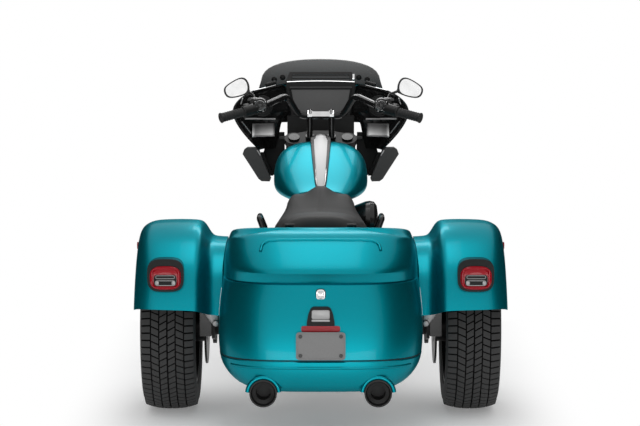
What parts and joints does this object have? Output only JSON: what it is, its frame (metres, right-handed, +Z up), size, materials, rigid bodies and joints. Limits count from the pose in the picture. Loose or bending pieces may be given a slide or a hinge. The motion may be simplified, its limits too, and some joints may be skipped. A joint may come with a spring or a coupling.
{
  "type": "motorized trike",
  "caption": "Touring motor trike: one steered front wheel, a pair of driven rear wheels, lidded trunk between flared fenders, fixed fairing with screen, saddle and V-twin engine.",
  "frame": {"origin": "on the ground, midway between the front tyre's foremost point and the number plate, in the plane of symmetry", "axes": "+Y forward (direction of travel), +X to the rider's right, +Z up"},
  "size_m": [1.3996, 2.67, 1.315],
  "materials": {
    "teal_paint": "metallic gloss",
    "gloss_black": "gloss",
    "satin_black": "satin",
    "black_plastic": "grained",
    "gloss_plastic": "gloss",
    "bright_metal": "polished",
    "disc_steel": "brushed",
    "cast_metal": "cast",
    "cast_steel": "cast",
    "tyre_rubber": "matte",
    "grip_rubber": "matte",
    "vinyl": "matte",
    "red_lens": "gloss",
    "clear_lens": "gloss",
    "smoked_screen": "gloss",
    "mirror_face": "polished",
    "plate_sheet": "painted matte"
  },
  "bodies": {
    "chassis": {"frame": "gloss_black", "engine_case": "cast_metal", "cylinders": "cast_metal", "rocker_covers": "bright_metal", "engine_covers": "satin_black", "air_cleaner": "gloss_plastic", "exhaust_pipes": "cast_steel", "mufflers": "gloss_black", "fuel_tank": "teal_paint", "tank_console": "cast_metal", "seat": "vinyl", "fairing_outer": "teal_paint", "fairing_inner": "gloss_plastic", "dash_panel": "black_plastic", "display": "gloss_plastic", "windshield": "smoked_screen", "fairing_vent": "bright_metal", "headlamp": "clear_lens", "fairing_pods": "black_plastic", "lower_panels": "black_plastic", "trunk_tub": "teal_paint", "lid_hinges": "satin_black", "rear_bumper": "teal_paint", "rear_cowl": "teal_paint", "side_panels": "teal_paint", "rear_fenders": "teal_paint", "lamp_housings": "gloss_plastic", "red_lenses": "red_lens", "plate_bracket": "black_plastic", "number_plate": "plate_sheet", "rear_axle": "cast_steel", "swingarm": "gloss_black", "shocks": "satin_black", "rear_calipers": "satin_black", "footboards": "black_plastic", "foot_controls": "satin_black", "grab_handles": "satin_black", "oil_cooler": "satin_black"},
    "lid": {"trunk_lid": "teal_paint", "lid_leaves": "satin_black"},
    "steering": {"fork": "gloss_black", "triple_clamps": "satin_black", "handlebar": "satin_black", "bar_clamp": "bright_metal", "grips": "grip_rubber", "hand_controls": "gloss_black", "mirrors": "gloss_plastic", "mirror_glass": "mirror_face", "front_fender": "teal_paint", "front_calipers": "satin_black"},
    "front_wheel": {"front_rim": "gloss_black", "front_discs": "disc_steel", "front_tyre": "tyre_rubber"},
    "rear_wheel_left": {"rear_rim_left": "gloss_black", "rear_tyre_left": "tyre_rubber"},
    "rear_wheel_right": {"rear_rim_right": "gloss_black", "rear_tyre_right": "tyre_rubber"}
  },
  "joints": [
    {"name": "steer", "type": "hinge", "parent": "chassis", "child": "steering", "pos_m": [0, 0.72481, 0.8], "axis": [0, -0.4384, 0.8988], "range_deg": [-28, 28]},
    {"name": "front_wheel_spin", "type": "hinge", "parent": "steering", "child": "front_wheel", "pos_m": [0, 1.016, 0.319], "axis": [1, 0, 0], "continuous": true},
    {"name": "rear_wheel_left_spin", "type": "hinge", "parent": "chassis", "child": "rear_wheel_left", "pos_m": [-0.577, -0.664, 0.325], "axis": [1, 0, 0], "continuous": true},
    {"name": "rear_wheel_right_spin", "type": "hinge", "parent": "chassis", "child": "rear_wheel_right", "pos_m": [0.577, -0.664, 0.325], "axis": [1, 0, 0], "continuous": true},
    {"name": "trunk_lid_hinge", "type": "hinge", "parent": "chassis", "child": "lid", "pos_m": [0, -0.697, 0.7175], "axis": [-1, 0, 0], "range_deg": [0, 65]}
  ]
}
